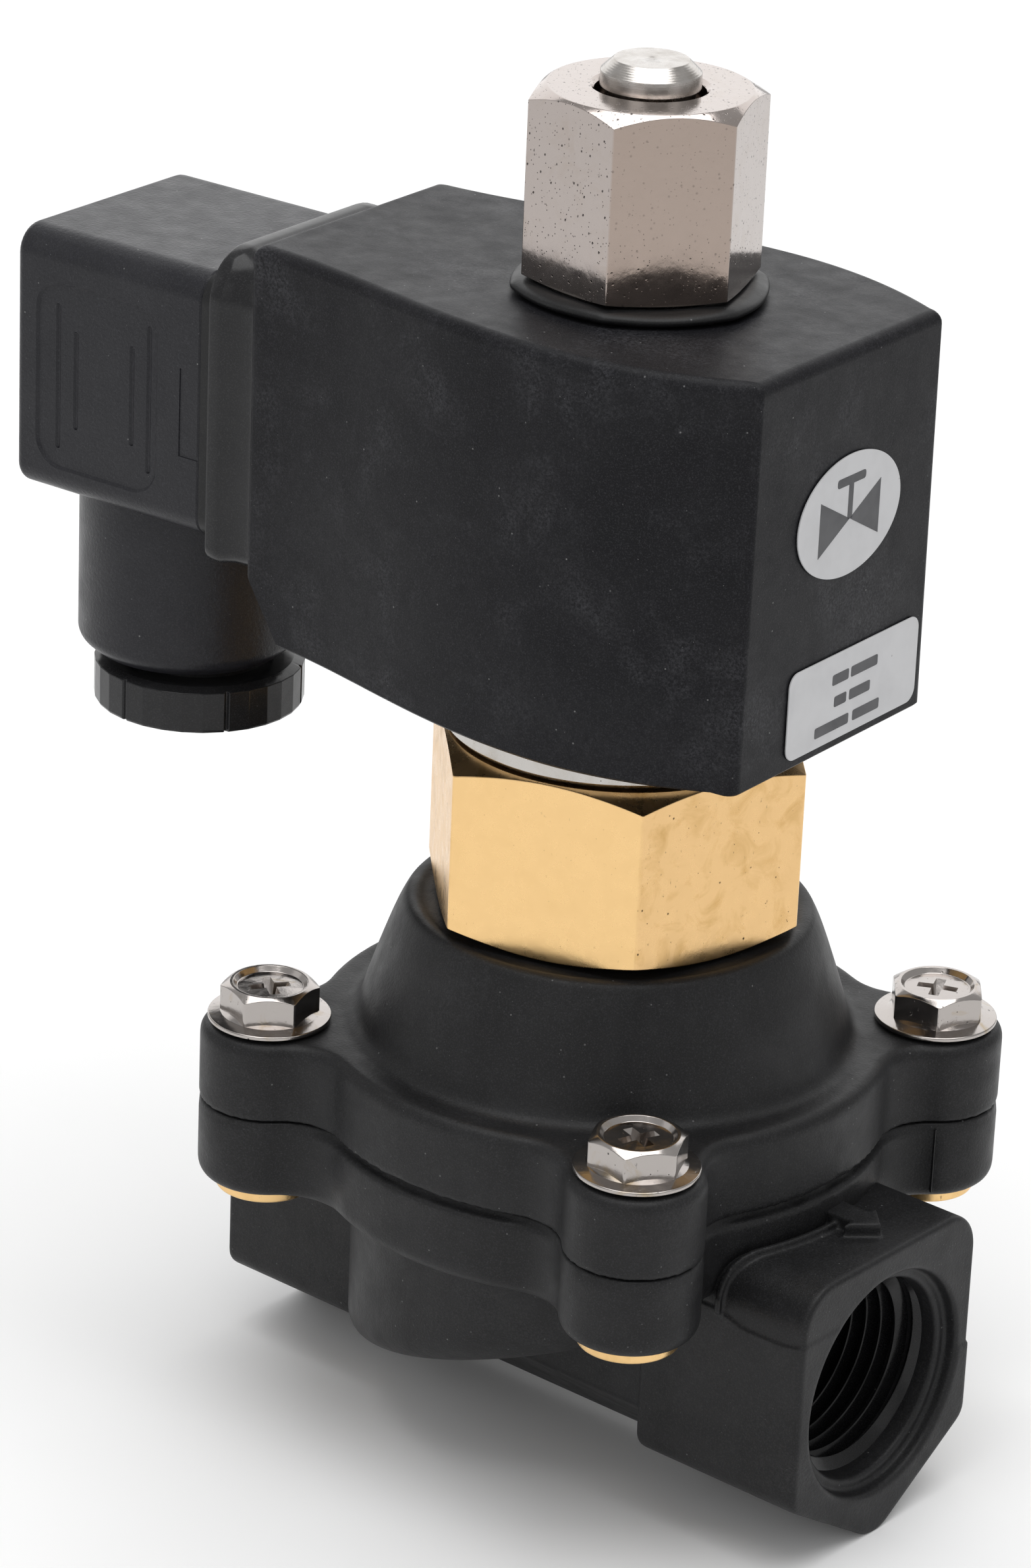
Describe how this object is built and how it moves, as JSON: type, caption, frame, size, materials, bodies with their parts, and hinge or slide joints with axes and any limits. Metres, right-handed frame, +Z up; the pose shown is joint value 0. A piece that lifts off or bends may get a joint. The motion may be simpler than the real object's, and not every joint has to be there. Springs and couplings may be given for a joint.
{
  "type": "solenoid valve",
  "caption": "Normally open pilot-operated diaphragm solenoid valve with a moulded body, threaded ports, hexagon guide, coil block and right-angle plug connector.",
  "frame": {"origin": "where the flow axis through both ports crosses the stem axis", "axes": "+X along the flow axis to the outlet port, +Z up the stem towards the coil nut, the plug connector on the -X side"},
  "size_m": [0.1082, 0.0618, 0.1445],
  "materials": {
    "valve_nylon": "black glass-filled nylon, satin with fine grey flecks",
    "coil_nylon": "black moulded nylon, satin, faintly clouded with grey",
    "connector_black": "fine textured black plastic",
    "gloss_black": "smooth glossy black plastic",
    "rubber": "smooth black rubber",
    "brass": "satin turned brass, lightly tarnished",
    "nickel_plate": "bright nickel plate, warm, with small pits",
    "screw_plating": "bright plating with a yellow tint at the rims",
    "stainless_steel": "turned stainless steel",
    "spring_steel": "drawn wire",
    "aluminium": "turned, satin",
    "copper": "enamelled copper",
    "bobbin_plastic": "moulded plastic",
    "label_foil": "silver grey printed foil label"
  },
  "bodies": {
    "valve": {"valve_body": "valve_nylon", "bonnet": "valve_nylon", "diaphragm": "rubber", "threaded_insert_1": "brass", "threaded_insert_2": "brass", "threaded_insert_3": "brass", "threaded_insert_4": "brass", "cover_screw_1": "screw_plating", "cover_screw_2": "screw_plating", "cover_screw_3": "screw_plating", "cover_screw_4": "screw_plating", "guide_hex_base": "brass", "guide_o_ring": "rubber", "coil_seat_ring": "aluminium", "armature_tube": "stainless_steel", "tube_plug": "stainless_steel", "fixed_core": "stainless_steel", "shading_ring": "copper", "coil_nut": "nickel_plate", "coil_nut_o_ring": "rubber", "plunger_spring": "spring_steel", "diaphragm_spring": "spring_steel"},
    "armature": {"plunger": "stainless_steel", "push_pin": "brass", "pilot_seal": "rubber"},
    "diaphragm_centre": {"diaphragm_plate": "stainless_steel"},
    "coil": {"coil_housing": "coil_nylon", "coil_bobbin": "bobbin_plastic", "coil_winding": "copper", "magnet_yoke": "stainless_steel", "coil_terminal_1": "brass", "coil_terminal_2": "brass", "earth_tab": "brass", "oval_label": "label_foil", "rating_label": "label_foil", "connector_housing": "connector_black", "connector_gasket": "rubber", "connector_screw": "screw_plating", "connector_screw_seal": "rubber", "terminal_block": "gloss_black", "clamp_screw_1": "brass", "clamp_screw_2": "brass", "clamp_screw_3": "brass", "gland_grommet": "rubber"},
    "gland_follower": {"gland_washer": "stainless_steel"},
    "gland_nut": {"gland_nut": "gloss_black"}
  },
  "joints": [
    {"name": "armature_slide", "type": "slide", "parent": "valve", "child": "armature", "axis": [0, 0, -1], "range_m": [0, 0.002], "stiffness_N_per_m": 250, "springref_m": -0.004, "deforming": ["plunger_spring"]},
    {"name": "diaphragm_lift", "type": "slide", "parent": "valve", "child": "diaphragm_centre", "axis": [0, 0, 1], "range_m": [0, 0.004], "stiffness_N_per_m": 150, "springref_m": -0.005, "deforming": ["diaphragm_spring", "diaphragm"]},
    {"name": "coil_swivel", "type": "hinge", "parent": "valve", "child": "coil", "pos_m": [0, 0, 0.08], "axis": [0, 0, 1], "continuous": true},
    {"name": "gland_advance", "type": "slide", "parent": "coil", "child": "gland_follower", "axis": [0, 0, 1], "range_m": [-0.0045, 0]},
    {"name": "gland_turn", "type": "hinge", "parent": "gland_follower", "child": "gland_nut", "pos_m": [-0.0537, -0.00334, 0.05], "axis": [0, 0, 1], "range_deg": [-1080, 0]}
  ],
  "couplings": [
    {"joint": "gland_turn", "follows": "gland_advance", "rad_per_m": 4188.8}
  ]
}
